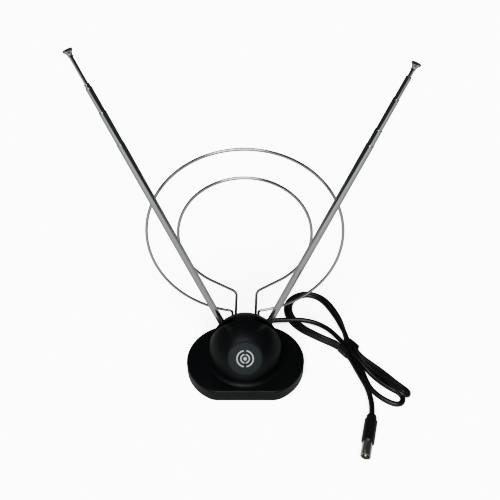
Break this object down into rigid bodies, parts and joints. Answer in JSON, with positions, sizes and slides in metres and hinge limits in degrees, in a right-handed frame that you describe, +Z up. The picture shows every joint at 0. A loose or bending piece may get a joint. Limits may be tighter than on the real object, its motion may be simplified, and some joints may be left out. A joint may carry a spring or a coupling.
{
  "type": "rabbit ears antenna",
  "caption": "Indoor television antenna: telescopic rods that swing out and two upright wire rings on a domed weighted base, with a coaxial lead and aerial plug.",
  "frame": {"origin": "centre of the base at the table surface, under the middle of the rods", "axes": "+Z up, +X to the object's right seen from its label side, +Y to the back where the lead comes out; the rods swing in a plane of constant Y"},
  "size_m": [0.315, 0.2434, 0.3466],
  "materials": {
    "housing_black": "moulded satin-gloss black polystyrene",
    "plate_black": "moulded black plastic, fine matt texture",
    "disc_black": "printed label disc, satin black",
    "ballast_steel": "stamped steel weight, dull black paint",
    "foot_rubber": "moulded black rubber",
    "zinc_steel": "zinc plated steel fasteners",
    "board_laminate": "paper laminate board with solder side lacquer",
    "ferrite": "sintered ferrite, density higher than plastic",
    "copper_wire": "enamelled copper wire",
    "capacitor_ceramic": "dipped ceramic capacitors",
    "wire_insulation": "red insulated hook-up wire",
    "carrier_plastic": "natural white moulded plastic",
    "contact_brass": "stamped brass",
    "loop_wire": "nickel-chrome plated steel wire",
    "rod_chrome": "chromium plated brass tube",
    "bush_brass": "turned brass bush",
    "gland_rubber": "black moulded rubber",
    "cable_jacket": "black soft PVC jacket",
    "tie_plastic": "black wrap tie",
    "plug_plastic": "moulded black plug body",
    "plug_nickel": "nickel plated brass",
    "insulator_white": "white polyethylene insulator"
  },
  "bodies": {
    "base": {"upper_housing": "housing_black", "base_plate": "plate_black", "ballast_plate": "ballast_steel", "rubber_feet": "foot_rubber", "housing_screws": "zinc_steel", "ballast_screws": "zinc_steel", "label_disc": "disc_black", "circuit_board": "board_laminate", "board_screws": "zinc_steel", "balun_core": "ferrite", "balun_winding": "copper_wire", "board_capacitors": "capacitor_ceramic", "lead_wires": "wire_insulation", "pivot_carrier": "carrier_plastic", "carrier_screws": "zinc_steel", "left_pivot_bracket": "contact_brass", "right_pivot_bracket": "contact_brass", "bracket_rivets": "contact_brass", "pivot_screws": "zinc_steel", "spring_washers": "zinc_steel", "pivot_nuts": "zinc_steel", "loop_terminals": "contact_brass", "terminal_screws": "zinc_steel", "outer_loop": "loop_wire", "inner_loop": "loop_wire", "cable_gland": "gland_rubber", "cable_clamp": "carrier_plastic", "clamp_screws": "zinc_steel", "inner_cable": "cable_jacket", "cable_lead": "cable_jacket", "cable_hank": "cable_jacket", "cable_tie": "tie_plastic", "cable_tail": "cable_jacket", "plug_body": "plug_plastic", "plug_sleeve": "plug_nickel", "plug_insulator": "insulator_white", "plug_pin": "plug_nickel"},
    "left_arm": {"left_knuckle": "rod_chrome", "left_outer_tube": "rod_chrome"},
    "left_second": {"left_second_tube": "rod_chrome", "left_second_bush": "bush_brass"},
    "left_third": {"left_third_tube": "rod_chrome", "left_third_bush": "bush_brass"},
    "left_fourth": {"left_fourth_tube": "rod_chrome", "left_fourth_bush": "bush_brass"},
    "left_tip": {"left_tip_rod": "rod_chrome", "left_tip_bush": "bush_brass", "left_tip_cap": "rod_chrome"},
    "right_arm": {"right_knuckle": "rod_chrome", "right_outer_tube": "rod_chrome"},
    "right_second": {"right_second_tube": "rod_chrome", "right_second_bush": "bush_brass"},
    "right_third": {"right_third_tube": "rod_chrome", "right_third_bush": "bush_brass"},
    "right_fourth": {"right_fourth_tube": "rod_chrome", "right_fourth_bush": "bush_brass"},
    "right_tip": {"right_tip_rod": "rod_chrome", "right_tip_bush": "bush_brass", "right_tip_cap": "rod_chrome"}
  },
  "joints": [
    {"name": "left_rod_swing", "type": "hinge", "parent": "base", "child": "left_arm", "pos_m": [-0.0175, 0.0095, 0.038], "axis": [0, -1, 0], "range_deg": [-20.6, 69.4]},
    {"name": "left_second_slide", "type": "slide", "parent": "left_arm", "child": "left_second", "axis": [-0.3518, 0, 0.9361], "range_m": [-0.0281, 0.1859]},
    {"name": "left_third_slide", "type": "slide", "parent": "left_second", "child": "left_third", "axis": [-0.3518, 0, 0.9361], "range_m": [-0.0195, 0.187]},
    {"name": "left_fourth_slide", "type": "slide", "parent": "left_third", "child": "left_fourth", "axis": [-0.3518, 0, 0.9361], "range_m": [-0.0015, 0.1975]},
    {"name": "left_tip_slide", "type": "slide", "parent": "left_fourth", "child": "left_tip", "axis": [-0.3518, 0, 0.9361], "range_m": [-0.0203, 0.1712]},
    {"name": "right_rod_swing", "type": "hinge", "parent": "base", "child": "right_arm", "pos_m": [0.0175, 0.0095, 0.038], "axis": [0, 1, 0], "range_deg": [-21.2, 68.8]},
    {"name": "right_second_slide", "type": "slide", "parent": "right_arm", "child": "right_second", "axis": [0.3616, 0, 0.9323], "range_m": [-0.013, 0.201]},
    {"name": "right_third_slide", "type": "slide", "parent": "right_second", "child": "right_third", "axis": [0.3616, 0, 0.9323], "range_m": [-0.0262, 0.1803]},
    {"name": "right_fourth_slide", "type": "slide", "parent": "right_third", "child": "right_fourth", "axis": [0.3616, 0, 0.9323], "range_m": [-0.0173, 0.1817]},
    {"name": "right_tip_slide", "type": "slide", "parent": "right_fourth", "child": "right_tip", "axis": [0.3616, 0, 0.9323], "range_m": [-0.0037, 0.1878]}
  ]
}
